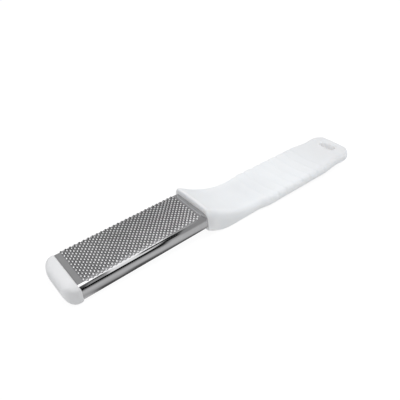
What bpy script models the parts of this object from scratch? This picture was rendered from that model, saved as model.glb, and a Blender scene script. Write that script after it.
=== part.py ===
# Foot file: a toothed stainless sleeve over a plastic spine, with an end cap and a cranked handle.
# Blender 4.5, metres, +Z up.
#
# Every piece is drawn in the head's own frame: x runs from the cap's joint to the handle's end,
# y goes across, and z is 0 on the toothed face. One empty then lays the whole file down, so that
# it rests on its cap and on the flat land under the crank, with the origin under its middle.

import math

import bmesh
import bpy
from mathutils import Matrix, Vector

# Fit between pieces
CLEARANCE = 0.0003

# Sleeve: one stainless sheet folded round the spine, its two edges meeting underneath
SLEEVE_WIDTH = 0.0330
SLEEVE_HEIGHT = 0.0124
SLEEVE_EDGE_RADIUS = 0.0032
SHEET_THICKNESS = 0.0008
EXPOSED_LENGTH = 0.0900
SLEEVE_IN_COLLAR = 0.0048
SEAM_GAP = 0.0005

# Teeth: staggered rows, alternate rows shifted by half a pitch, the outermost ones out on
# the sleeve's rounded edges
TOOTH_PITCH = 0.0029
TOOTH_ROW_STEP = 0.001505
TOOTH_HEIGHT = 0.0008
TOOTH_EDGE_MARGIN = 0.0024
PLAIN_BAND_AT_CAP = 0.0031
PLAIN_BAND_AT_COLLAR = 0.0038
TOOTH_BED_RISE = 0.00005
EDGE_TOOTH_SINK = 0.0003
EDGE_TOOTH_SHARE = 0.94

# End cap: a rounded bar, a plug that fills the sleeve's mouth, and a peg into the spine
CAP_LENGTH = 0.0091
CAP_OVERHANG = 0.0006
CAP_RISE = 0.0001
CAP_DROP = 0.0016
CAP_CORNER_RADIUS = 0.0075
CAP_NOSE_RADIUS = 0.0052
CAP_SIDE_RADIUS = 0.0034
CAP_RIM_RADIUS = 0.0005
PLUG_LENGTH = 0.0100
PEG_LENGTH = 0.0080
PEG_WIDTH = 0.0150
PEG_HEIGHT = 0.0046

# Spine: carries the sleeve and runs down the crank into the grip
TANG_WIDTH = 0.0200
TANG_IN_GRIP = 0.0260

# Collar: the front of the handle, which holds the sleeve's end
COLLAR_WALL = 0.0010
COLLAR_RISE = 0.0060
COLLAR_FLOOR = 0.0020
COLLAR_LEAN = 0.0016
COLLAR_EDGE_RADIUS = 0.0028
COLLAR_SIDE_DEPTH = 0.0080
COLLAR_RIM_RADIUS = 0.0032
COLLAR_SIDE_RIM_RADIUS = 0.0003
COLLAR_UNDER_RIM_RADIUS = 0.0012

# Crank: where the handle drops from the collar to the grip
CRANK_TOP_LENGTH = 0.0480
CRANK_UNDERSIDE_LENGTH = 0.0240
NECK_SPREAD = 0.0008
NECK_LENGTH = 0.0220
LAND_CUT = 0.00015

# Grip
HANDLE_LENGTH = 0.1656
GRIP_WIDTH = 0.0396
SHOULDER_FROM_COLLAR = 0.0500
SHOULDER_LENGTH = 0.0120
GRIP_DROP = 0.0116
GRIP_THICKNESS = 0.0092
GRIP_WALL = 0.00185
GRIP_SLOPE = 0.0190
GRIP_EDGE_RADIUS = 0.0034
GRIP_SIDE_DEPTH = 0.0052
GRIP_CROWN = 0.0004
END_WIDTH = 0.0368
END_TAPER_LENGTH = 0.0220
END_LOBE_LENGTH = 0.0210
WAIST_DEPTH = 0.0005
WAIST_LENGTH = 0.0160
END_CORNER_RADIUS = 0.0095
END_EDGE_RADIUS = 0.0024

# Ripples: shallow arcs pressed across the grip's top, deepest at its edges
RIPPLE_COUNT = 8
RIPPLE_PITCH = 0.0093
RIPPLE_RADIUS = 0.0022
RIPPLE_DEPTH_MIDDLE = 0.0002
RIPPLE_DEPTH_EDGE = 0.00045
RIPPLE_BOW = 0.0040
LAST_RIPPLE_FROM_END = 0.0406

# Hanging slot, across the grip near its end
SLOT_LENGTH = 0.0140
SLOT_WIDTH = 0.0084
SLOT_FROM_END = 0.0114

# Fineness: steps in a quarter turn, across the grip's top, and along the handle
EDGE_SEGMENTS = 4
NOSE_SEGMENTS = 6
RIM_SEGMENTS = 3
SLOT_SEGMENTS = 24
RIPPLE_RESOLUTION = 2
TOP_SEGMENTS = 8
STATION_STEP = 0.0050
LIE_STEPS = 400
LARGEST_ROUNDING = 0.98
WELD_DISTANCE = 0.000001
SHARP_ANGLE = 35

# Places that follow from the sizes above
COLLAR_X = EXPOSED_LENGTH
HANDLE_END_X = COLLAR_X + HANDLE_LENGTH
SLEEVE_END_X = EXPOSED_LENGTH + SLEEVE_IN_COLLAR
COLLAR_WIDTH = SLEEVE_WIDTH + 2 * COLLAR_WALL
COLLAR_DEPTH = SLEEVE_HEIGHT + COLLAR_FLOOR
NECK_WIDTH = COLLAR_WIDTH + 2 * NECK_SPREAD
CAP_WIDTH = SLEEVE_WIDTH + 2 * CAP_OVERHANG
CAP_DEPTH = SLEEVE_HEIGHT + CAP_DROP
TANG_THICKNESS = GRIP_THICKNESS - 2 * (GRIP_WALL + CLEARANCE)
BORE_WIDTH = SLEEVE_WIDTH - 2 * SHEET_THICKNESS
BORE_TOP = -SHEET_THICKNESS
BORE_BOTTOM = SHEET_THICKNESS - SLEEVE_HEIGHT
BORE_RADIUS = SLEEVE_EDGE_RADIUS - SHEET_THICKNESS
MID_HEIGHT = -SLEEVE_HEIGHT / 2

# The teeth's cells: each is half a pitch across and one row step along
CELL_WIDTH = TOOTH_PITCH / 2
BED_COLUMNS = 2 * int(((SLEEVE_WIDTH - 2 * TOOTH_EDGE_MARGIN) / CELL_WIDTH - 1) / 2) + 1
TOOTH_ROWS = max(
    int((EXPOSED_LENGTH - PLAIN_BAND_AT_CAP - PLAIN_BAND_AT_COLLAR) / TOOTH_ROW_STEP), 1)


def ease(start, end, share):
    share = min(max(share, 0.0), 1.0)
    return start + (end - start) * share * share * (3 - 2 * share)


def run_out(share):
    return (1 - min(max(share, 0.0), 1.0)) ** 2


def grip_top(x):
    return -GRIP_DROP - GRIP_SLOPE * (x - COLLAR_X)


def handle_top(x):
    full = COLLAR_RISE - grip_top(COLLAR_X)
    return grip_top(x) + full * run_out((x - COLLAR_X) / CRANK_TOP_LENGTH)


def handle_underside(x):
    full = grip_top(COLLAR_X) - GRIP_THICKNESS + COLLAR_DEPTH
    return grip_top(x) - GRIP_THICKNESS - full * run_out((x - COLLAR_X) / CRANK_UNDERSIDE_LENGTH)


def handle_half_width(x):
    """Collar, neck, grip and end lobe, each eased into the next, with a waist before the lobe."""
    lobe_x = HANDLE_END_X - END_LOBE_LENGTH
    neck = ease(COLLAR_WIDTH, NECK_WIDTH, (x - COLLAR_X) / NECK_LENGTH)
    grip = ease(0, GRIP_WIDTH - NECK_WIDTH, (x - COLLAR_X - SHOULDER_FROM_COLLAR) / SHOULDER_LENGTH)
    taper = ease(0, GRIP_WIDTH - END_WIDTH, (x - lobe_x) / END_TAPER_LENGTH + 1)
    waist = WAIST_DEPTH * ease(0, 1, 1 - abs(2 * (x - lobe_x) / WAIST_LENGTH))
    return (neck + grip - taper) / 2 - waist


def lie_angle():
    """Angle between the toothed face and the table, from the cap's nose to the crank's land."""
    steepest = 0.0
    for step in range(LIE_STEPS):
        x = COLLAR_X + HANDLE_LENGTH * step / LIE_STEPS
        run = x - (CAP_NOSE_RADIUS - CAP_LENGTH)
        drop = (CAP_NOSE_RADIUS - CAP_DEPTH) - (handle_underside(x) + LAND_CUT)
        tangent = math.acos(CAP_NOSE_RADIUS / math.hypot(run, drop)) - math.atan2(run, drop)
        steepest = max(steepest, tangent)
    return steepest


LIE_ANGLE = lie_angle()


def table_height(x):
    """Height of the table under the file, in the head's frame."""
    nose_x = CAP_NOSE_RADIUS - CAP_LENGTH
    nose_z = CAP_NOSE_RADIUS - CAP_DEPTH
    return nose_z - CAP_NOSE_RADIUS / math.cos(LIE_ANGLE) - (x - nose_x) * math.tan(LIE_ANGLE)


def arc_inset(distance, radius):
    """How far a rounded corner has drawn in at a distance from its end."""
    if distance >= radius:
        return 0.0
    return radius - math.sqrt(max(radius * radius - (radius - distance) ** 2, 0.0))


def section(half_width, top, bottom, radius, crown=0.0, depth=0.0):
    """Rounded rectangle in the YZ plane, counter-clockwise seen from +X, its top crowned.

    The upper corners can reach deeper down the sides than their radius.
    """
    radius = min(radius, (top - bottom) / 2 * LARGEST_ROUNDING, half_width * LARGEST_ROUNDING)
    depth = min(max(depth, radius), (top - bottom) * LARGEST_ROUNDING - radius)
    corners = (
        (half_width - radius, top - depth, depth, 0),
        (radius - half_width, top - depth, depth, 90),
        (radius - half_width, bottom + radius, radius, 180),
        (half_width - radius, bottom + radius, radius, 270),
    )
    points = []
    for y, z, tall, start in corners:
        for step in range(EDGE_SEGMENTS + 1):
            angle = math.radians(start + 90 * step / EDGE_SEGMENTS)
            points.append((y + radius * math.cos(angle), z + tall * math.sin(angle)))
        if start == 0:
            for step in range(1, TOP_SEGMENTS):
                points.append((y * (1 - 2 * step / TOP_SEGMENTS), top))
    middle = (top + bottom) / 2
    return [(y, z - crown * (y / half_width) ** 2 if z > middle else z) for y, z in points]


def loft(name, outlines):
    """Closed solid through outlines of (x, y, z) points, all with the same count."""
    bm = bmesh.new()
    rings = [[bm.verts.new(point) for point in outline] for outline in outlines]
    for ring, following in zip(rings, rings[1:]):
        for index in range(len(ring)):
            after = (index + 1) % len(ring)
            bm.faces.new((ring[index], ring[after], following[after], following[index]))
    bm.faces.new(list(reversed(rings[0])))
    bm.faces.new(rings[-1])
    return add_object(name, bm)


def rounded_bar(name, x_start, x_end, width, top, bottom, radius):
    """Bar along X with its four long edges rounded."""
    bm = bmesh.new()
    bmesh.ops.create_cube(bm, size=1.0)
    size = Vector((x_end - x_start, width, top - bottom))
    centre = Vector(((x_start + x_end) / 2, 0.0, (top + bottom) / 2))
    bmesh.ops.scale(bm, vec=size, verts=bm.verts)
    bmesh.ops.translate(bm, vec=centre, verts=bm.verts)
    if radius > 0:
        long_edges = [e for e in bm.edges if abs(e.verts[0].co.x - e.verts[1].co.x) > size.x / 2]
        bmesh.ops.bevel(
            bm, geom=long_edges, offset=radius, segments=EDGE_SEGMENTS, profile=0.5, affect="EDGES")
    return add_object(name, bm)


def add_object(name, bm):
    bmesh.ops.recalc_face_normals(bm, faces=bm.faces)
    mesh = bpy.data.meshes.new(name)
    bm.to_mesh(mesh)
    bm.free()
    obj = bpy.data.objects.new(name, mesh)
    bpy.context.scene.collection.objects.link(obj)
    return obj


def combine(target, other, operation):
    """Join a helper to a piece, or cut it away; the helper goes to the cutters."""
    modifier = target.modifiers.new(f"{operation.lower()}_{other.name}", "BOOLEAN")
    modifier.operation = operation
    modifier.object = other
    other.hide_render = True
    other.display_type = "WIRE"
    for collection in list(other.users_collection):
        collection.objects.unlink(other)
    cutters.objects.link(other)
    other.parent = frame


def material(name, color, roughness, metallic=0.0):
    mat = bpy.data.materials.new(name)
    mat.use_nodes = True
    shader = mat.node_tree.nodes["Principled BSDF"]
    shader.inputs["Base Color"].default_value = (*color, 1.0)
    shader.inputs["Roughness"].default_value = roughness
    shader.inputs["Metallic"].default_value = metallic
    return mat


def finish_piece(obj, mat):
    """Shade a piece, give it its material and hang it from the frame."""
    obj.data.materials.append(mat)
    obj.data.shade_smooth()
    obj.data.set_sharp_from_angle(angle=math.radians(SHARP_ANGLE))
    for collection in list(obj.users_collection):
        collection.objects.unlink(obj)
    parts.objects.link(obj)
    obj.parent = frame


def tooth_bed():
    """Low plate whose grid cells alternate between flat and a raised tooth."""
    bm = bmesh.new()
    bmesh.ops.create_grid(bm, x_segments=TOOTH_ROWS, y_segments=BED_COLUMNS, size=0.5)
    size = Vector((TOOTH_ROWS * TOOTH_ROW_STEP, BED_COLUMNS * CELL_WIDTH, 1.0))
    centre = Vector((PLAIN_BAND_AT_CAP + size.x / 2, 0.0, TOOTH_BED_RISE))
    bmesh.ops.scale(bm, vec=size, verts=bm.verts)
    bmesh.ops.translate(bm, vec=centre, verts=bm.verts)
    teeth = []
    for face in bm.faces:
        place = face.calc_center_median()
        row = round((place.x - PLAIN_BAND_AT_CAP) / TOOTH_ROW_STEP - 0.5)
        column = round((place.y + size.y / 2) / CELL_WIDTH - 0.5)
        if (row + column) % 2 == 0:
            teeth.append(face)
    rim = [edge for edge in bm.edges if edge.is_boundary]
    skirt = bmesh.ops.extrude_edge_only(bm, edges=rim)["geom"]
    lower = [item for item in skirt if isinstance(item, bmesh.types.BMVert)]
    bmesh.ops.translate(bm, verts=lower, vec=(0.0, 0.0, -SHEET_THICKNESS / 2 - TOOTH_BED_RISE))
    bmesh.ops.contextual_create(bm, geom=[edge for edge in bm.edges if edge.is_boundary])
    bmesh.ops.poke(bm, faces=teeth, offset=TOOTH_HEIGHT)
    return add_object("tooth_bed", bm)


def edge_teeth():
    """Outermost teeth on both sides: separate points, square to the sleeve's rounded edges."""
    edge_y = (BED_COLUMNS + 1) * CELL_WIDTH / 2
    round_start = SLEEVE_WIDTH / 2 - SLEEVE_EDGE_RADIUS
    tilt = math.asin(min(max((edge_y - round_start) / SLEEVE_EDGE_RADIUS, 0.0), 1.0))
    drop = SLEEVE_EDGE_RADIUS * (1 - math.cos(tilt))
    depth = TOOTH_HEIGHT + EDGE_TOOTH_SINK
    half_side = CELL_WIDTH / 2 * EDGE_TOOTH_SHARE * depth / TOOTH_HEIGHT
    middle = TOOTH_HEIGHT - depth / 2
    bm = bmesh.new()
    for row in range(1, TOOTH_ROWS, 2):
        x = PLAIN_BAND_AT_CAP + (row + 0.5) * TOOTH_ROW_STEP
        for side in (-1, 1):
            place = Matrix.Translation((x, side * edge_y, -drop))
            lean = Matrix.Rotation(-side * tilt, 4, "X")
            quarter = Matrix.Rotation(math.pi / 4, 4, "Z")
            bmesh.ops.create_cone(
                bm, cap_ends=True, segments=4, radius1=half_side * math.sqrt(2), radius2=0.0,
                depth=depth, matrix=place @ lean @ Matrix.Translation((0.0, 0.0, middle)) @ quarter)
    return add_object("edge_teeth", bm)


def make_sleeve():
    sleeve = rounded_bar(
        "rasp_sleeve", CLEARANCE, SLEEVE_END_X, SLEEVE_WIDTH, 0.0, -SLEEVE_HEIGHT, SLEEVE_EDGE_RADIUS)
    bore = rounded_bar(
        "sleeve_bore", -PLUG_LENGTH, SLEEVE_END_X + PLUG_LENGTH, BORE_WIDTH,
        BORE_TOP, BORE_BOTTOM, BORE_RADIUS)
    seam = rounded_bar(
        "sleeve_seam", -PLUG_LENGTH, SLEEVE_END_X + PLUG_LENGTH, SEAM_GAP,
        BORE_BOTTOM + SHEET_THICKNESS, BORE_BOTTOM - 2 * SHEET_THICKNESS, 0.0)
    combine(sleeve, bore, "DIFFERENCE")
    combine(sleeve, seam, "DIFFERENCE")
    combine(sleeve, tooth_bed(), "UNION")
    combine(sleeve, edge_teeth(), "UNION")
    return sleeve


def cap_outline(x):
    from_front = x + CAP_LENGTH
    nose = arc_inset(from_front, CAP_NOSE_RADIUS)
    corner = arc_inset(from_front, CAP_CORNER_RADIUS)
    rim = arc_inset(-x, CAP_RIM_RADIUS)
    outline = section(
        CAP_WIDTH / 2 - corner - rim, CAP_RISE - nose - rim, nose + rim - CAP_DEPTH, CAP_SIDE_RADIUS)
    return [(x, y, z) for y, z in outline]


def cap_stations():
    """Places along the cap: an arc's worth at its nose, one between, and the rim's."""
    nose_end = CAP_NOSE_RADIUS - CAP_LENGTH
    places = []
    for step in range(NOSE_SEGMENTS + 1):
        angle = math.radians(90 * step / NOSE_SEGMENTS)
        places.append(nose_end - CAP_NOSE_RADIUS * math.cos(angle))
    places.append((nose_end - CAP_RIM_RADIUS) / 2)
    for step in range(RIM_SEGMENTS + 1):
        angle = math.radians(90 * step / RIM_SEGMENTS)
        places.append(-CAP_RIM_RADIUS * (1 - math.sin(angle)))
    return places


def make_cap():
    cap = loft("end_cap", [cap_outline(x) for x in cap_stations()])
    plug = rounded_bar(
        "cap_plug", -CAP_LENGTH / 2, PLUG_LENGTH, BORE_WIDTH - 2 * CLEARANCE,
        BORE_TOP - CLEARANCE, BORE_BOTTOM + CLEARANCE, BORE_RADIUS - CLEARANCE)
    peg = rounded_bar(
        "cap_peg", -CAP_LENGTH / 2, PLUG_LENGTH + PEG_LENGTH, PEG_WIDTH,
        MID_HEIGHT + PEG_HEIGHT / 2, MID_HEIGHT - PEG_HEIGHT / 2, 0.0)
    combine(cap, plug, "UNION")
    combine(cap, peg, "UNION")
    return cap


def tang(name, x_start, growth):
    """Flat bar that follows the middle of the handle down into the grip."""
    x_end = COLLAR_X + CRANK_TOP_LENGTH + TANG_IN_GRIP + growth
    count = max(int((x_end - x_start) / STATION_STEP), 2)
    half_width = TANG_WIDTH / 2 + growth
    half_height = TANG_THICKNESS / 2 + growth
    corners = (
        (half_width, -half_height), (half_width, half_height),
        (-half_width, half_height), (-half_width, -half_height))
    outlines = []
    for step in range(count + 1):
        x = x_start + (x_end - x_start) * step / count
        middle = (handle_top(x) + handle_underside(x)) / 2
        outlines.append([(x, y, middle + z) for y, z in corners])
    return loft(name, outlines)


def make_spine():
    spine = rounded_bar(
        "spine", PLUG_LENGTH + CLEARANCE, SLEEVE_END_X, BORE_WIDTH - 2 * CLEARANCE,
        BORE_TOP - CLEARANCE, BORE_BOTTOM + CLEARANCE, BORE_RADIUS - CLEARANCE)
    mortise = rounded_bar(
        "peg_mortise", 0.0, PLUG_LENGTH + PEG_LENGTH + CLEARANCE, PEG_WIDTH + 2 * CLEARANCE,
        MID_HEIGHT + PEG_HEIGHT / 2 + CLEARANCE, MID_HEIGHT - PEG_HEIGHT / 2 - CLEARANCE, 0.0)
    combine(spine, tang("spine_tang", SLEEVE_END_X - SLEEVE_IN_COLLAR, 0.0), "UNION")
    combine(spine, mortise, "DIFFERENCE")
    return spine


def handle_outline(x):
    from_end = HANDLE_END_X - x
    from_front = x - COLLAR_X
    rim = arc_inset(from_front, COLLAR_RIM_RADIUS)
    side_rim = arc_inset(from_front, COLLAR_SIDE_RIM_RADIUS)
    under_rim = arc_inset(from_front, COLLAR_UNDER_RIM_RADIUS)
    edge = arc_inset(from_end, END_EDGE_RADIUS)
    half_width = handle_half_width(x) - arc_inset(from_end, END_CORNER_RADIUS) - side_rim
    top = handle_top(x) - edge - rim
    bottom = max(handle_underside(x), table_height(x)) + edge + under_rim
    radius = ease(COLLAR_EDGE_RADIUS, GRIP_EDGE_RADIUS, from_front / CRANK_TOP_LENGTH)
    depth = ease(COLLAR_SIDE_DEPTH, GRIP_SIDE_DEPTH, from_front / CRANK_TOP_LENGTH)
    lean = COLLAR_LEAN * run_out(from_front / CRANK_UNDERSIDE_LENGTH)
    outline = section(half_width, top, bottom, radius, GRIP_CROWN, depth)
    return [(x + lean * (top - z) / (top - bottom), y, z) for y, z in outline]


def handle_stations():
    """Places along the handle: close together at its rim and end, even between."""
    places = []
    for step in range(RIM_SEGMENTS + 1):
        angle = math.radians(90 * step / RIM_SEGMENTS)
        places.append(COLLAR_X + COLLAR_RIM_RADIUS * (1 - math.cos(angle)))
    even_start = COLLAR_X + COLLAR_RIM_RADIUS
    even_end = HANDLE_END_X - END_CORNER_RADIUS
    count = int((even_end - even_start) / STATION_STEP)
    for step in range(1, count + 1):
        places.append(even_start + (even_end - even_start) * step / count)
    for step in range(1, NOSE_SEGMENTS + 1):
        angle = math.radians(90 * step / NOSE_SEGMENTS)
        places.append(even_end + END_CORNER_RADIUS * math.sin(angle))
    return places


def ripple_cutter(index):
    """Bowed tube that presses one shallow groove over the grip from edge to edge."""
    edge_x = HANDLE_END_X - LAST_RIPPLE_FROM_END - index * RIPPLE_PITCH
    half_width = handle_half_width(edge_x)
    top = handle_top(edge_x)
    underside = handle_underside(edge_x)
    reach = RIPPLE_RADIUS - RIPPLE_DEPTH_MIDDLE
    outline = section(
        half_width + reach, top + reach, underside - reach, GRIP_EDGE_RADIUS + reach, GRIP_CROWN,
        GRIP_SIDE_DEPTH + reach)
    upper = [(y, z) for y, z in outline if z > (top + underside) / 2]
    curve = bpy.data.curves.new(f"ripple_{index}", "CURVE")
    curve.dimensions = "3D"
    curve.bevel_depth = RIPPLE_RADIUS
    curve.bevel_resolution = RIPPLE_RESOLUTION
    curve.use_fill_caps = True
    spline = curve.splines.new("POLY")
    spline.points.add(len(upper) - 1)
    for point, (y, z) in zip(spline.points, upper):
        share = min(abs(y) / half_width, 1.0) ** 2
        sink = (RIPPLE_DEPTH_EDGE - RIPPLE_DEPTH_MIDDLE) * share
        inward = y - math.copysign(sink, y)
        point.co = (edge_x - RIPPLE_BOW * (1 - share), inward, z, 1.0)
    guide = bpy.data.objects.new(curve.name, curve)
    bpy.context.scene.collection.objects.link(guide)
    return curve_to_mesh(guide)


def curve_to_mesh(guide):
    graph = bpy.context.evaluated_depsgraph_get()
    mesh = bpy.data.meshes.new_from_object(guide.evaluated_get(graph))
    bm = bmesh.new()
    bm.from_mesh(mesh)
    bmesh.ops.remove_doubles(bm, verts=bm.verts, dist=WELD_DISTANCE)
    name = guide.name
    bpy.data.objects.remove(guide)
    bpy.data.meshes.remove(mesh)
    return add_object(name, bm)


def slot_cutter():
    """Upright bar with two round ends: a cylinder whose halves are drawn apart across the grip."""
    centre_x = HANDLE_END_X - SLOT_FROM_END
    middle = (handle_top(centre_x) + handle_underside(centre_x)) / 2
    radius = SLOT_WIDTH / 2
    stretch = SLOT_LENGTH / 2 - radius
    half_step = Matrix.Rotation(math.pi / SLOT_SEGMENTS, 3, "Z")
    bm = bmesh.new()
    bmesh.ops.create_cone(
        bm, cap_ends=True, segments=SLOT_SEGMENTS, radius1=radius, radius2=radius,
        depth=2 * GRIP_THICKNESS)
    bmesh.ops.rotate(bm, matrix=half_step, verts=bm.verts)
    for vert in bm.verts:
        vert.co.y += math.copysign(stretch, vert.co.y)
        vert.co += Vector((centre_x, 0.0, middle))
    return add_object("slot_cutter", bm)


def make_handle():
    handle = loft("handle", [handle_outline(x) for x in handle_stations()])
    pocket = rounded_bar(
        "sleeve_pocket", COLLAR_X - COLLAR_LEAN, SLEEVE_END_X + CLEARANCE,
        SLEEVE_WIDTH + 2 * CLEARANCE, CLEARANCE, -SLEEVE_HEIGHT - CLEARANCE,
        SLEEVE_EDGE_RADIUS + CLEARANCE)
    tang_pocket = tang("tang_pocket", SLEEVE_END_X - SLEEVE_IN_COLLAR / 2, CLEARANCE)
    combine(handle, pocket, "DIFFERENCE")
    combine(handle, tang_pocket, "DIFFERENCE")
    for index in range(RIPPLE_COUNT):
        combine(handle, ripple_cutter(index), "DIFFERENCE")
    combine(handle, slot_cutter(), "DIFFERENCE")
    return handle


def lay_down():
    """Turn the file to the angle it lies at, then put its underside's middle on the origin."""
    frame.rotation_euler = (0.0, -LIE_ANGLE, 0.0)
    bpy.context.view_layer.update()
    graph = bpy.context.evaluated_depsgraph_get()
    corners = []
    for obj in parts.objects:
        if obj.type == "MESH":
            corners += [obj.matrix_world @ v.co for v in obj.evaluated_get(graph).data.vertices]
    low = [min(c[axis] for c in corners) for axis in range(3)]
    high = [max(c[axis] for c in corners) for axis in range(3)]
    frame.location = (-(low[0] + high[0]) / 2, -(low[1] + high[1]) / 2, -low[2])
    bpy.context.view_layer.update()


for old in list(bpy.data.objects):
    bpy.data.objects.remove(old)
parts = bpy.data.collections.new("foot_file")
cutters = bpy.data.collections.new("cutters")
bpy.context.scene.collection.children.link(parts)
bpy.context.scene.collection.children.link(cutters)
frame = bpy.data.objects.new("head_frame", None)
parts.objects.link(frame)

white_plastic = material("white_plastic", (0.86, 0.875, 0.89), 0.42)
spine_plastic = material("spine_plastic", (0.62, 0.64, 0.66), 0.5)
stainless = material("stainless", (0.62, 0.62, 0.62), 0.22, 1.0)

finish_piece(make_cap(), white_plastic)
finish_piece(make_sleeve(), stainless)
finish_piece(make_spine(), spine_plastic)
finish_piece(make_handle(), white_plastic)
lay_down()
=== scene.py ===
import math

import bmesh
import bpy
from mathutils import Matrix, Vector


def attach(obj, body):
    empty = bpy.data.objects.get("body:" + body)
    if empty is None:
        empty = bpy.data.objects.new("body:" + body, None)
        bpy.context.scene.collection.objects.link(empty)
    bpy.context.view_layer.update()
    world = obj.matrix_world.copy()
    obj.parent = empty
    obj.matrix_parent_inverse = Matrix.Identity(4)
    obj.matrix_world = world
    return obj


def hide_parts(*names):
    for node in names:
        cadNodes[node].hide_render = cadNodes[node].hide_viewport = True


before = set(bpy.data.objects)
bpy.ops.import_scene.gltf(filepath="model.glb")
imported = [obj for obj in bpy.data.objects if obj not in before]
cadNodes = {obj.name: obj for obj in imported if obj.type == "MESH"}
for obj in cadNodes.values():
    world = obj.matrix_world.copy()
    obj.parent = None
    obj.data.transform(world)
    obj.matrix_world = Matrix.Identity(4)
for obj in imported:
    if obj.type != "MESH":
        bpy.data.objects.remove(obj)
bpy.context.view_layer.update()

# Everything is drawn in millimetres in the head's own frame: x runs from the cap's joint to the
# handle's end, y goes across, z is 0 on the toothed face. headToWorld lays it on the floor.
mm = 0.001

sleeve = {
    "width": 33.0, "height": 12.4, "edgeRadius": 3.2, "sheet": 0.8, "seamGap": 0.5,
    "start": 0.02, "cadStart": 0.3, "exposed": 90.0, "inCollar": 4.8,
    "stationStep": 3.0, "cornerSegments": 14, "frontDrop": 0.7,
}

teeth = {
    "Pitch": 2.9, "Row step": 1.505, "Rows": 55, "Columns": 11, "Field start": 3.8525,
    "Radius": 0.85, "Height": 0.8, "Bluntness": 1.7, "Tip": 0.1, "Lean": 0.1, "Sunk": 0.05,
    "Sides": 10, "Height steps": 5, "Size wobble": 0.1, "Seed": 7, "Far limit": 16.2,
    "Flat half width": sleeve["width"] / 2 - sleeve["edgeRadius"], "Edge radius": sleeve["edgeRadius"],
}


def ease(start, end, share):       # from start to end, soft at both
    share = min(max(share, 0.0), 1.0)
    return start + (end - start) * share * share * (3 - 2 * share)


def runOut(share):                 # from 1 down to 0, soft at the end
    return (1 - min(max(share, 0.0), 1.0)) ** 2


def arcInset(distance, radius):    # how far a rounded corner has drawn in, at a distance from its end
    if distance >= radius:
        return 0.0
    return radius - math.sqrt(max(radius * radius - (radius - distance) ** 2, 0.0))


def evenly(start, end, step):      # places after start, up to and with end
    count = max(round(abs(end - start) / step), 1)
    return [start + (end - start) * index / count for index in range(1, count + 1)]


def quarterTurn(segments):         # the angles of a quarter of a circle, with both ends
    return [math.radians(90 * step / segments) for step in range(segments + 1)]


def headToWorldMatrix(cadSleeve):  # the sleeve's broad flat faces give the tilt that it lies at
    level = [face for face in cadSleeve.data.polygons if abs(face.normal.y) < 0.1]
    broadest = max(level, key=lambda face: face.area)
    up = Vector((broadest.normal.x, 0.0, broadest.normal.z)).normalized()
    up = up if up.z > 0 else -up
    across = Vector((0.0, 1.0, 0.0))
    along = across.cross(up)
    points = [vert.co for vert in cadSleeve.data.vertices]
    front = min(point.dot(along) for point in points) - sleeve["cadStart"] * mm
    face = min(point.dot(up) for point in points) + sleeve["height"] * mm
    matrix = Matrix((along, across, up)).transposed().to_4x4()
    matrix.translation = along * front + up * face
    return matrix @ Matrix.Scale(mm, 4)


headToWorld = headToWorldMatrix(cadNodes["rasp_sleeve"])
tilt = headToWorld.to_euler().y


# Node trees: one helper adds a node, sets its values and links its inputs

def addNode(tree, kind, inputs=None, **settings):
    node = tree.nodes.new(kind)
    for name, value in settings.items():
        setattr(node, name, value)
    for name, value in (inputs or {}).items():
        if isinstance(value, bpy.types.NodeSocket):
            tree.links.new(value, node.inputs[name])
        else:
            node.inputs[name].default_value = value
    return node


def maths(tree, operation, first, second=0.0, third=0.0):
    node = addNode(tree, "ShaderNodeMath", {0: first, 1: second, 2: third}, operation=operation)
    return node.outputs[0]


def smoothRange(tree, value, low, high, start=0.0, end=1.0):
    names = ("Value", "From Min", "From Max", "To Min", "To Max")
    inputs = dict(zip(names, (value, low, high, start, end)))
    return addNode(tree, "ShaderNodeMapRange", inputs, interpolation_type="SMOOTHSTEP").outputs[0]


def newTree(name, sockets):        # a geometry tree with named inputs for its sizes
    tree = bpy.data.node_groups.new(name, "GeometryNodeTree")
    tree.interface.new_socket("Geometry", in_out="INPUT", socket_type="NodeSocketGeometry")
    tree.interface.new_socket("Geometry", in_out="OUTPUT", socket_type="NodeSocketGeometry")
    for socket, kind in sockets:
        tree.interface.new_socket(socket, in_out="INPUT", socket_type="NodeSocket" + kind)
    return tree, addNode(tree, "NodeGroupInput").outputs, addNode(tree, "NodeGroupOutput").inputs


def endTree(tree, geometry, given, out):
    real = addNode(tree, "GeometryNodeRealizeInstances", {"Geometry": geometry}).outputs[0]
    painted = addNode(tree, "GeometryNodeSetMaterial", {"Geometry": real, "Material": given["Material"]})
    tree.links.new(painted.outputs[0], out["Geometry"])


def runTree(obj, tree, values):    # sets the inputs by identifier, then keeps the result as a plain mesh
    modifier = obj.modifiers.new(tree.name, "NODES")
    modifier.node_group = tree
    for item in tree.interface.items_tree:
        if item.in_out == "INPUT" and item.name in values:
            modifier[item.identifier] = values[item.name]
    keepAsMesh(obj)


def keepAsMesh(obj):
    graph = bpy.context.evaluated_depsgraph_get()
    made = bpy.data.meshes.new_from_object(obj.evaluated_get(graph))
    made.name = obj.name
    obj.modifiers.clear()
    obj.data = made


# Materials

def newMaterial(name):
    made = bpy.data.materials.new(name)
    made.use_nodes = True
    tree = made.node_tree
    return made, tree, tree.nodes["Principled BSDF"]


def objectPlace(tree, scale=(1, 1, 1), turn=0.0):    # object coordinates, turned and stretched
    where = addNode(tree, "ShaderNodeTexCoord").outputs["Object"]
    mapping = addNode(tree, "ShaderNodeMapping", {"Vector": where, "Scale": scale})
    mapping.inputs["Rotation"].default_value = (0.0, turn, 0.0)
    return mapping.outputs[0]


def headPlace(tree):               # object coordinates in the head's own frame, in millimetres
    where = addNode(tree, "ShaderNodeTexCoord").outputs["Object"]
    turned = addNode(tree, "ShaderNodeMapping", {"Vector": where}, vector_type="TEXTURE")
    turned.inputs["Location"].default_value = headToWorld.translation
    turned.inputs["Rotation"].default_value = headToWorld.to_euler()
    turned.inputs["Scale"].default_value = (mm, mm, mm)
    return addNode(tree, "ShaderNodeSeparateXYZ", {0: turned.outputs[0]}).outputs


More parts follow.
